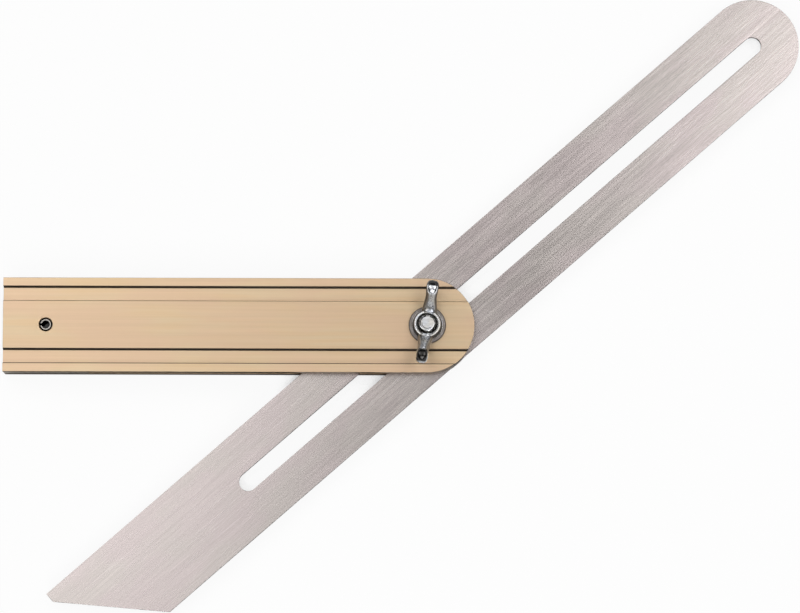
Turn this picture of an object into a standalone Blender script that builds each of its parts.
"""Sliding bevel, 300 mm blade.

A slotted steel blade swings and slides between the two aluminium cheeks of the stock. A bolt
whose square neck rides in the blade's slot passes both cheeks, and a wing nut on a plain washer
clamps the blade at any angle. At the butt end a spacer holds the cheeks apart, and a slotted
spring pin holds all three together.

The stock lies along X with its butt end at -X and its rear face on Z = 0. The clamp bolt's axis
is the Z axis. Metres.
"""

import math

import bmesh
import bpy
from mathutils import Matrix, Vector

# Stock
STOCK_LENGTH = 0.150
STOCK_WIDTH = 0.030
CHEEK_THICKNESS = 0.0045
LIP_WIDTH = 0.00275
CHANNEL_WIDTH = 0.0046
CHANNEL_DEPTH = 0.0014
SPACER_LENGTH = 0.0272

# Blade
BLADE_LENGTH = 0.300
BLADE_WIDTH = 0.030
BLADE_THICKNESS = 0.0015
BLADE_CUT_ANGLE = math.radians(46)
BLADE_TIP_FLAT = 0.0032
SLOT_FROM_TIP = 0.0687
PIVOT_FROM_TIP = 0.1471
BLADE_REST_ANGLE = math.radians(41.15)

# Slotted spring pin
PIN_DIAMETER = 0.0039
PIN_WALL = 0.0007
PIN_SLIT = 0.0008
PIN_CHAMFER = 0.0003
PIN_RECESS = 0.0003

# Clamp bolt: an M5 thread, a neck a little wider than it, and a head that overhangs the neck
THREAD_DIAMETER = 0.005
BOLT_CHAMFER = 0.0005
NECK_SHOULDER = 0.0001
NECK_CORNER = 0.0006
HEAD_OVERHANG = 0.0032
HEAD_THICKNESS = 0.0024
BOLT_PROUD = 0.0009

# Washer
WASHER_RIM = 0.00315
WASHER_THICKNESS = 0.001

# Wing nut: hub walls are measured from the bore, and the wings reach out from the hub's base
HUB_TOP_WALL = 0.0013
HUB_FLARE = 0.0009
HUB_HEIGHT = 0.0052
COUNTERSINK_WIDTH = 0.0004
WING_REACH = 0.00835
WING_HEIGHT = 0.0130
WING_THICKNESS = 0.0033
WING_LIFT = 0.0008
WING_ROUNDING = 0.0009
EAR_RADIUS = 0.00255
NUT_REST_ANGLE = math.radians(81.4)

# Clearances
SEAT_GAP = 0.0003
BLADE_CLEARANCE = 0.0003
NECK_CLEARANCE = 0.0003
PIN_CLEARANCE = 0.00025
HEAD_CLEARANCE = 0.0004
BOLT_HOLE_CLEARANCE = 0.00025
THREAD_CLEARANCE = 0.0002

# How the shapes are cut and rounded
CUT_OVERRUN = 0.002
MERGE_DISTANCE = 0.000003
ROUND_SEGMENTS = 48
END_SEGMENTS = 32
BEVEL_SEGMENTS = 3
SHARP_ANGLE = math.radians(30)

# Heights above the stock's rear face
THROAT = BLADE_THICKNESS + 2 * BLADE_CLEARANCE
THROAT_Z = CHEEK_THICKNESS
BLADE_Z = THROAT_Z + BLADE_CLEARANCE
FRONT_CHEEK_Z = THROAT_Z + THROAT
STOCK_TOP_Z = FRONT_CHEEK_Z + CHEEK_THICKNESS
WASHER_Z = STOCK_TOP_Z + SEAT_GAP
NUT_Z = WASHER_Z + WASHER_THICKNESS + SEAT_GAP
BOLT_END_Z = NUT_Z + HUB_HEIGHT + BOLT_PROUD

# Places in plan, from the clamp bolt's axis
END_RADIUS = STOCK_WIDTH / 2
BUTT_X = END_RADIUS - STOCK_LENGTH
PIN_X = BUTT_X + SPACER_LENGTH / 2

# Radii and half widths round the clamp bolt
THREAD_RADIUS = THREAD_DIAMETER / 2
NECK_HALF = THREAD_RADIUS + NECK_SHOULDER
NECK_RADIUS = math.hypot(NECK_HALF, NECK_HALF - NECK_CORNER)
SLOT_RADIUS = NECK_HALF + NECK_CLEARANCE
HEAD_RADIUS = NECK_RADIUS + HEAD_OVERHANG
BOLT_HOLE_RADIUS = THREAD_RADIUS + BOLT_HOLE_CLEARANCE
BORE_RADIUS = THREAD_RADIUS + THREAD_CLEARANCE
HUB_TOP_RADIUS = BORE_RADIUS + HUB_TOP_WALL
HUB_BASE_RADIUS = HUB_TOP_RADIUS + HUB_FLARE


def principled(name, colour, metallic, roughness):
    """A plain material; colour is linear red, green and blue."""
    material = bpy.data.materials.new(name)
    material.use_nodes = True
    shader = material.node_tree.nodes["Principled BSDF"]
    shader.inputs["Base Color"].default_value = (*colour, 1)
    shader.inputs["Metallic"].default_value = metallic
    shader.inputs["Roughness"].default_value = roughness
    return material


def add_object(name, bm, material=None, place=None, parent=None):
    """Turns a bmesh into a shaded object, with its origin at place in its parent's frame."""
    bmesh.ops.recalc_face_normals(bm, faces=bm.faces)
    mesh = bpy.data.meshes.new(name)
    bm.to_mesh(mesh)
    bm.free()
    mesh.shade_smooth()
    mesh.set_sharp_from_angle(angle=SHARP_ANGLE)
    if material:
        mesh.materials.append(material)
    obj = bpy.data.objects.new(name, mesh)
    bpy.context.collection.objects.link(obj)
    obj.parent = parent
    obj.matrix_local = place or Matrix()
    return obj


def add_axis(name, angle=0):
    """An empty on the clamp bolt's axis, turned by angle: what turns about it is its child."""
    axis = bpy.data.objects.new(name, None)
    bpy.context.collection.objects.link(axis)
    axis.empty_display_size = STOCK_WIDTH
    axis.rotation_euler.z = angle
    bpy.context.view_layer.update()
    return axis


def boolean(target, tool, operation):
    """Joins tool to target, or cuts it out, and hides the tool."""
    modifier = target.modifiers.new(tool.name, "BOOLEAN")
    modifier.operation = operation
    modifier.object = tool
    tool.hide_render = True
    tool.display_type = "WIRE"


def at_height(z):
    return Matrix.Translation((0, 0, z))


def arc(centre, radius, start, end, segments):
    """Points on an arc in a plane, both ends among them."""
    angles = [start + (end - start) * i / segments for i in range(segments + 1)]
    return [(centre[0] + radius * math.cos(a), centre[1] + radius * math.sin(a)) for a in angles]


def prism(outline, height):
    """A bmesh of a plan outline, extruded up from Z = 0."""
    bm = bmesh.new()
    base = bm.faces.new([bm.verts.new((x, y, 0)) for x, y in outline])
    top = bmesh.ops.extrude_face_region(bm, geom=[base])["geom"]
    raised = [v for v in top if isinstance(v, bmesh.types.BMVert)]
    bmesh.ops.translate(bm, verts=raised, vec=(0, 0, height))
    return bm


def turned(profile):
    """A bmesh of a closed (radius, height) profile, turned about the Z axis."""
    bm = bmesh.new()
    ring = [bm.verts.new((r, 0, z)) for r, z in profile]
    pairs = zip(ring, ring[1:] + ring[:1])
    edges = [bm.edges.new(pair) for pair in pairs]
    bmesh.ops.spin(
        bm,
        geom=ring + edges,
        cent=(0, 0, 0),
        axis=(0, 0, 1),
        angle=math.tau,
        steps=ROUND_SEGMENTS,
        use_merge=True,
    )
    bmesh.ops.remove_doubles(bm, verts=bm.verts, dist=MERGE_DISTANCE)
    bmesh.ops.dissolve_degenerate(bm, edges=bm.edges, dist=MERGE_DISTANCE)
    return bm


def round_cutter(name, radius, low, high, x=0):
    """A cylinder that cuts a hole, from low to high."""
    outline = arc((x, 0), radius, 0, math.tau, ROUND_SEGMENTS)[:-1]
    return add_object(name, prism(outline, high - low), place=at_height(low))


def stock_outline():
    """The stock in plan: square at the butt, and a half circle round the bolt."""
    half = STOCK_WIDTH / 2
    rounded = arc((0, 0), END_RADIUS, -math.pi / 2, math.pi / 2, END_SEGMENTS)
    return [(BUTT_X, half), (BUTT_X, -half)] + rounded


def channel_cutters(name, face_z, outward):
    """Cutters for the two channels along a cheek's outer face; outward is the face's way up."""
    cutters = []
    length = STOCK_LENGTH + 2 * CUT_OVERRUN
    middle = STOCK_WIDTH / 2 - LIP_WIDTH - CHANNEL_WIDTH / 2
    height = CHANNEL_DEPTH + CUT_OVERRUN
    centre_z = face_z + outward * (height / 2 - CHANNEL_DEPTH)
    for side, label in ((1, "upper"), (-1, "lower")):
        bm = bmesh.new()
        bmesh.ops.create_cube(bm, size=1)
        bmesh.ops.scale(bm, verts=bm.verts, vec=(length, CHANNEL_WIDTH, height))
        centre = (BUTT_X + STOCK_LENGTH / 2, side * middle, centre_z)
        cutters.append(add_object(f"{name}_{label}_channel", bm, place=Matrix.Translation(centre)))
    return cutters


def pin_hole(name, low, high):
    """The cut for the spring pin through one layer of the stock."""
    radius = PIN_DIAMETER / 2 + PIN_CLEARANCE
    return round_cutter(name, radius, low - CUT_OVERRUN, high + CUT_OVERRUN, x=PIN_X)


def cheek(name, low, face_z, outward, material, bolt_cutters):
    """One side plate of the stock: channelled outside, flat inside, drilled for bolt and pin."""
    obj = add_object(name, prism(stock_outline(), CHEEK_THICKNESS), material, at_height(low))
    cutters = channel_cutters(name, face_z, outward)
    cutters.append(pin_hole(f"{name}_pin_hole", low, low + CHEEK_THICKNESS))
    for cutter in cutters + bolt_cutters:
        boolean(obj, cutter, "DIFFERENCE")
    return obj


def front_cheek(material):
    """Passes the bolt's thread."""
    hole = round_cutter(
        "front_cheek_bolt_hole",
        BOLT_HOLE_RADIUS,
        FRONT_CHEEK_Z - CUT_OVERRUN,
        STOCK_TOP_Z + CUT_OVERRUN,
    )
    return cheek("front_cheek", FRONT_CHEEK_Z, STOCK_TOP_Z, 1, material, [hole])


def rear_cheek(material):
    """Holds the bolt's head in a counterbore, and lets its square neck turn in a round hole."""
    neck_hole = round_cutter(
        "rear_cheek_neck_hole",
        NECK_RADIUS + NECK_CLEARANCE,
        -CUT_OVERRUN,
        CHEEK_THICKNESS + CUT_OVERRUN,
    )
    counterbore = round_cutter(
        "rear_cheek_counterbore",
        HEAD_RADIUS + HEAD_CLEARANCE,
        -CUT_OVERRUN,
        HEAD_THICKNESS + SEAT_GAP,
    )
    return cheek("rear_cheek", 0, 0, -1, material, [neck_hole, counterbore])


def butt_spacer(material):
    """A plate as thick as the blade that keeps the throat open at the butt end."""
    half = STOCK_WIDTH / 2
    inner = BUTT_X + SPACER_LENGTH
    outline = [(BUTT_X, half), (BUTT_X, -half), (inner, -half), (inner, half)]
    low = THROAT_Z + SEAT_GAP
    high = FRONT_CHEEK_Z - SEAT_GAP
    obj = add_object("butt_spacer", prism(outline, high - low), material, at_height(low))
    boolean(obj, pin_hole("butt_spacer_pin_hole", low, high), "DIFFERENCE")
    return obj


def spring_pin(material):
    """A rolled tube with chamfered ends and a slit along its length, facing the butt end."""
    outer = PIN_DIAMETER / 2
    inner = outer - PIN_WALL
    length = STOCK_TOP_Z - 2 * PIN_RECESS
    profile = [
        (inner, 0),
        (outer - PIN_CHAMFER, 0),
        (outer, PIN_CHAMFER),
        (outer, length - PIN_CHAMFER),
        (outer - PIN_CHAMFER, length),
        (inner, length),
    ]
    place = Matrix.Translation((PIN_X, 0, PIN_RECESS))
    obj = add_object("spring_pin", turned(profile), material, place)
    half = PIN_SLIT / 2
    past = outer + CUT_OVERRUN
    slit = add_object(
        "spring_pin_slit",
        prism([(0, half), (-past, half), (-past, -half), (0, -half)], length + 2 * CUT_OVERRUN),
        place=place @ at_height(-CUT_OVERRUN),
    )
    boolean(obj, slit, "DIFFERENCE")
    return obj


def blade_outline():
    """The blade in plan, along +X from its cut end, with the clamp bolt's axis at the origin."""
    half = BLADE_WIDTH / 2
    tip_x = -PIVOT_FROM_TIP
    end_x = BLADE_LENGTH - PIVOT_FROM_TIP - half
    cut_back = (BLADE_WIDTH - BLADE_TIP_FLAT) / math.tan(BLADE_CUT_ANGLE)
    rounded = arc((end_x, 0), half, -math.pi / 2, math.pi / 2, END_SEGMENTS)
    return [(tip_x, half), (tip_x, half - BLADE_TIP_FLAT), (tip_x + cut_back, -half)] + rounded


def slot_outline():
    """The slot: its far end is concentric with the blade's round end."""
    near_x = SLOT_FROM_TIP + SLOT_RADIUS - PIVOT_FROM_TIP
    far_x = BLADE_LENGTH - PIVOT_FROM_TIP - BLADE_WIDTH / 2
    segments = ROUND_SEGMENTS // 2
    near = arc((near_x, 0), SLOT_RADIUS, math.pi / 2, 3 * math.pi / 2, segments)
    return near + arc((far_x, 0), SLOT_RADIUS, -math.pi / 2, math.pi / 2, segments)


def blade(material, axis):
    obj = add_object("blade", prism(blade_outline(), BLADE_THICKNESS), material, at_height(BLADE_Z), axis)
    slot = add_object(
        "blade_slot",
        prism(slot_outline(), BLADE_THICKNESS + 2 * CUT_OVERRUN),
        place=at_height(BLADE_Z - CUT_OVERRUN),
        parent=axis,
    )
    boolean(obj, slot, "DIFFERENCE")
    return obj


def clamp_bolt(material, axis):
    """A flat head flush with the stock, a square neck that rides in the slot, and a shank."""
    profile = [
        (0, 0),
        (HEAD_RADIUS - BOLT_CHAMFER, 0),
        (HEAD_RADIUS, BOLT_CHAMFER),
        (HEAD_RADIUS, HEAD_THICKNESS),
        (THREAD_RADIUS, HEAD_THICKNESS),
        (THREAD_RADIUS, BOLT_END_Z - BOLT_CHAMFER),
        (THREAD_RADIUS - BOLT_CHAMFER, BOLT_END_Z),
        (0, BOLT_END_Z),
    ]
    obj = add_object("clamp_bolt", turned(profile), material, parent=axis)
    inset = NECK_HALF - NECK_CORNER
    corner = [Vector((NECK_HALF, inset)), Vector((inset, NECK_HALF))]
    outline = [Matrix.Rotation(i * math.pi / 2, 2) @ point for i in range(4) for point in corner]
    sunk = HEAD_THICKNESS / 2
    neck = add_object(
        "clamp_bolt_neck",
        prism(outline, FRONT_CHEEK_Z - SEAT_GAP - sunk),
        place=at_height(sunk),
        parent=axis,
    )
    boolean(obj, neck, "UNION")
    return obj


def washer(material, axis):
    inner = BOLT_HOLE_RADIUS
    outer = inner + WASHER_RIM
    profile = [(inner, 0), (outer, 0), (outer, WASHER_THICKNESS), (inner, WASHER_THICKNESS)]
    return add_object("washer", turned(profile), material, at_height(WASHER_Z), axis)


def tangent_angle(point, centre, radius, side):
    """The angle on a circle where the line from an outside point touches it, on one side."""
    away = Vector(point) - Vector(centre)
    return math.atan2(away.y, away.x) + side * math.acos(radius / away.length)


def wing_outline():
    """Both wings from the side: straight edges from the hub, run out to round raised ears."""
    centre = (HUB_BASE_RADIUS + WING_REACH - EAR_RADIUS, WING_HEIGHT - EAR_RADIUS)
    root = (HUB_TOP_RADIUS, WING_LIFT)
    crotch = (HUB_TOP_RADIUS, HUB_HEIGHT - WING_LIFT)
    start = tangent_angle(root, centre, EAR_RADIUS, 1)
    end = tangent_angle(crotch, centre, EAR_RADIUS, -1) + math.tau
    ear = arc(centre, EAR_RADIUS, start, end, ROUND_SEGMENTS // 3)
    right = [root] + ear + [crotch]
    left = [(-x, z) for x, z in reversed(right)]
    return right + left


def wing_nut(material, axis):
    """A conical hub with a countersunk bore, and two rounded wings."""
    profile = [(0, 0), (HUB_BASE_RADIUS, 0), (HUB_TOP_RADIUS, HUB_HEIGHT), (0, HUB_HEIGHT)]
    obj = add_object("wing_nut", turned(profile), material, at_height(NUT_Z), axis)
    upright = Matrix.Rotation(math.pi / 2, 4, "X")
    wings = add_object(
        "wing_nut_wings",
        prism(wing_outline(), WING_THICKNESS),
        place=Matrix.Translation((0, WING_THICKNESS / 2, NUT_Z)) @ upright,
        parent=axis,
    )
    rounding = wings.modifiers.new("rounded_edges", "BEVEL")
    rounding.width = WING_ROUNDING
    rounding.segments = BEVEL_SEGMENTS
    rounding.limit_method = "ANGLE"
    boolean(obj, wings, "UNION")
    sink_radius = BORE_RADIUS + COUNTERSINK_WIDTH
    high = HUB_HEIGHT + CUT_OVERRUN
    bore_profile = [
        (0, -CUT_OVERRUN),
        (BORE_RADIUS, -CUT_OVERRUN),
        (BORE_RADIUS, HUB_HEIGHT - COUNTERSINK_WIDTH),
        (sink_radius, HUB_HEIGHT),
        (sink_radius, high),
        (0, high),
    ]
    cutter = add_object("wing_nut_bore", turned(bore_profile), place=at_height(NUT_Z), parent=axis)
    boolean(obj, cutter, "DIFFERENCE")
    return obj


def build():
    for obj in list(bpy.data.objects):
        bpy.data.objects.remove(obj)
    gold = principled("gold_anodised_aluminium", (0.60, 0.46, 0.28), 1, 0.38)
    steel = principled("brushed_stainless_steel", (0.56, 0.52, 0.51), 1, 0.35)
    spacer_grey = principled("spacer_aluminium", (0.50, 0.49, 0.47), 1, 0.45)
    pin_steel = principled("spring_steel", (0.30, 0.28, 0.26), 1, 0.4)
    bright_zinc = principled("bright_zinc", (0.75, 0.76, 0.78), 1, 0.12)
    dull_zinc = principled("dull_zinc", (0.42, 0.39, 0.37), 1, 0.42)
    swing_axis = add_axis("swing_axis", BLADE_REST_ANGLE)
    nut_axis = add_axis("nut_axis", NUT_REST_ANGLE)
    front_cheek(gold)
    rear_cheek(gold)
    butt_spacer(spacer_grey)
    spring_pin(pin_steel)
    blade(steel, swing_axis)
    clamp_bolt(bright_zinc, swing_axis)
    washer(dull_zinc, nut_axis)
    wing_nut(bright_zinc, nut_axis)


build()
